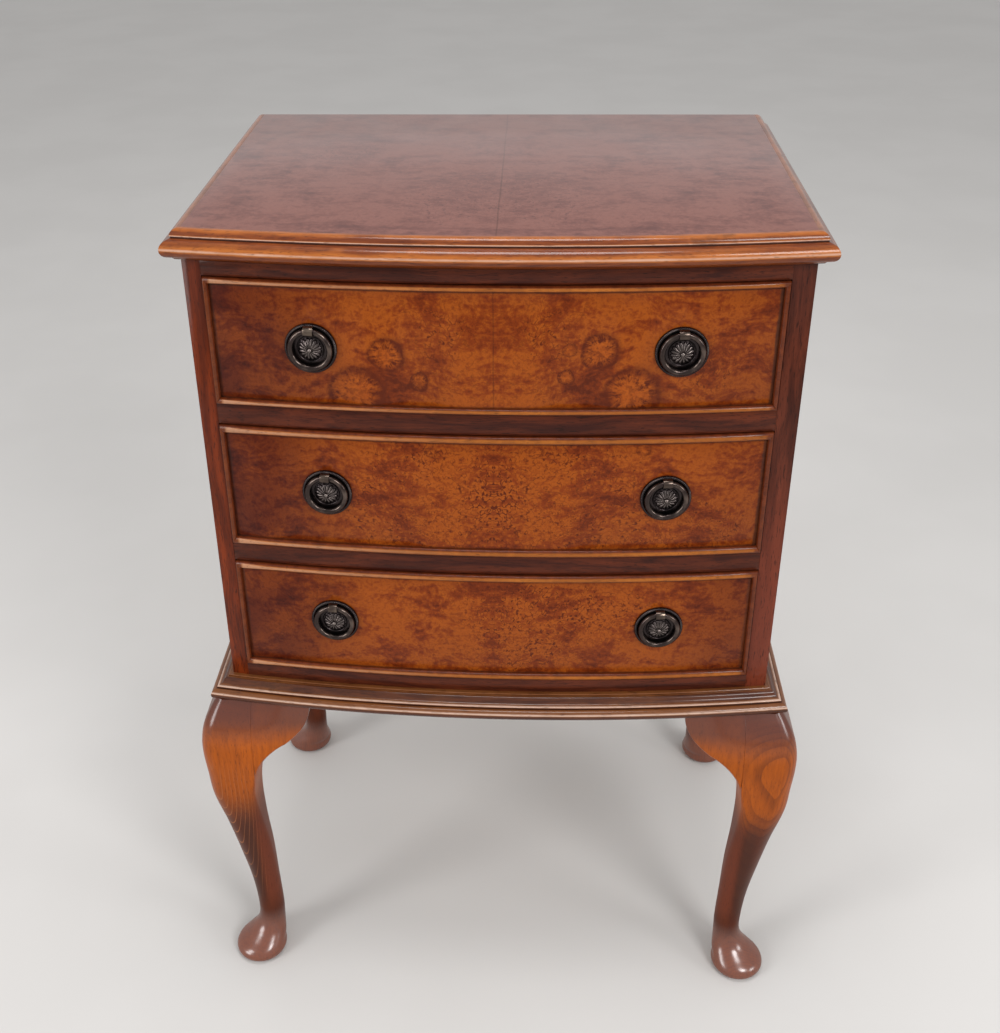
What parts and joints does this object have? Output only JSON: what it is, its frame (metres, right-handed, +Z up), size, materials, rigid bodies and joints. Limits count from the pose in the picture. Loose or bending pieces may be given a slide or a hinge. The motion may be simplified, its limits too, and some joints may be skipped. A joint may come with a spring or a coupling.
{
  "type": "bedside chest of drawers",
  "caption": "Bow-fronted walnut bedside chest with sliding drawers, swinging ring pulls, moulded top and base, and cabriole legs on pad feet.",
  "frame": {"origin": "on the floor, under the middle of the bounding box", "axes": "+Z up, the bowed drawer fronts face -Y, +X to the right as seen from the front"},
  "size_m": [0.5, 0.3377, 0.716],
  "materials": {
    "burr_walnut": "burr walnut veneer, French polished",
    "walnut_dark": "straight-grained walnut, dark stain, polished",
    "walnut_moulding": "solid walnut moulding, polished, worn on the edges",
    "walnut_leg": "solid carved walnut, polished",
    "pale_wood": "bare oak and plywood, unpolished",
    "antique_brass": "dark antique bronze finish, worn bright on the high spots",
    "steel": "plain steel"
  },
  "bodies": {
    "carcass": {"top_board": "burr_walnut", "top_moulding_front": "walnut_moulding", "top_moulding_left": "walnut_moulding", "top_moulding_right": "walnut_moulding", "side_left": "walnut_dark", "side_right": "walnut_dark", "back_panel": "pale_wood", "frieze_rail": "walnut_dark", "drawer_rail_upper": "walnut_dark", "drawer_rail_lower": "walnut_dark", "bottom_rail": "walnut_dark", "back_top_rail": "pale_wood", "carcass_floor": "pale_wood", "drawer_runners": "pale_wood", "top_kickers": "pale_wood", "drawer_stops": "pale_wood", "base_frame_front": "walnut_moulding", "base_frame_left": "walnut_moulding", "base_frame_right": "walnut_moulding", "base_frame_back": "pale_wood", "leg_front_left": "walnut_leg", "leg_front_right": "walnut_leg", "leg_back_left": "walnut_leg", "leg_back_right": "walnut_leg", "front_ears": "walnut_leg", "side_ears": "walnut_leg", "glue_blocks": "pale_wood", "leg_dowels": "pale_wood", "carcass_screws": "steel"},
    "drawer_1": {"drawer_1_front": "burr_walnut", "drawer_1_cock_beads": "walnut_moulding", "drawer_1_side_left": "pale_wood", "drawer_1_side_right": "pale_wood", "drawer_1_back": "pale_wood", "drawer_1_bottom": "pale_wood", "drawer_1_pull_plates": "antique_brass", "drawer_1_pull_bolts": "antique_brass"},
    "drawer_1_ring_left": {"drawer_1_ring_left": "antique_brass"},
    "drawer_1_ring_right": {"drawer_1_ring_right": "antique_brass"},
    "drawer_2": {"drawer_2_front": "burr_walnut", "drawer_2_cock_beads": "walnut_moulding", "drawer_2_side_left": "pale_wood", "drawer_2_side_right": "pale_wood", "drawer_2_back": "pale_wood", "drawer_2_bottom": "pale_wood", "drawer_2_pull_plates": "antique_brass", "drawer_2_pull_bolts": "antique_brass"},
    "drawer_2_ring_left": {"drawer_2_ring_left": "antique_brass"},
    "drawer_2_ring_right": {"drawer_2_ring_right": "antique_brass"},
    "drawer_3": {"drawer_3_front": "burr_walnut", "drawer_3_cock_beads": "walnut_moulding", "drawer_3_side_left": "pale_wood", "drawer_3_side_right": "pale_wood", "drawer_3_back": "pale_wood", "drawer_3_bottom": "pale_wood", "drawer_3_pull_plates": "antique_brass", "drawer_3_pull_bolts": "antique_brass"},
    "drawer_3_ring_left": {"drawer_3_ring_left": "antique_brass"},
    "drawer_3_ring_right": {"drawer_3_ring_right": "antique_brass"}
  },
  "joints": [
    {"name": "drawer_1_slide", "type": "slide", "parent": "carcass", "child": "drawer_1", "axis": [0, -1, 0], "range_m": [0, 0.235]},
    {"name": "drawer_1_ring_left_swing", "type": "hinge", "parent": "drawer_1", "child": "drawer_1_ring_left", "pos_m": [-0.13134, -0.15026, 0.6449], "axis": [-0.9965, 0.0835, 0], "range_deg": [0, 140]},
    {"name": "drawer_1_ring_right_swing", "type": "hinge", "parent": "drawer_1", "child": "drawer_1_ring_right", "pos_m": [0.13134, -0.15026, 0.6449], "axis": [-0.9965, -0.0835, 0], "range_deg": [0, 140]},
    {"name": "drawer_2_slide", "type": "slide", "parent": "carcass", "child": "drawer_2", "axis": [0, -1, 0], "range_m": [0, 0.235]},
    {"name": "drawer_2_ring_left_swing", "type": "hinge", "parent": "drawer_2", "child": "drawer_2_ring_left", "pos_m": [-0.12733, -0.15059, 0.5254], "axis": [-0.9967, 0.0809, 0], "range_deg": [0, 140]},
    {"name": "drawer_2_ring_right_swing", "type": "hinge", "parent": "drawer_2", "child": "drawer_2_ring_right", "pos_m": [0.12733, -0.15059, 0.5254], "axis": [-0.9967, -0.0809, 0], "range_deg": [0, 140]},
    {"name": "drawer_3_slide", "type": "slide", "parent": "carcass", "child": "drawer_3", "axis": [0, -1, 0], "range_m": [0, 0.235]},
    {"name": "drawer_3_ring_left_swing", "type": "hinge", "parent": "drawer_3", "child": "drawer_3_ring_left", "pos_m": [-0.12884, -0.15046, 0.4059], "axis": [-0.9966, 0.0819, 0], "range_deg": [0, 140]},
    {"name": "drawer_3_ring_right_swing", "type": "hinge", "parent": "drawer_3", "child": "drawer_3_ring_right", "pos_m": [0.12884, -0.15046, 0.4059], "axis": [-0.9966, -0.0819, 0], "range_deg": [0, 140]}
  ]
}
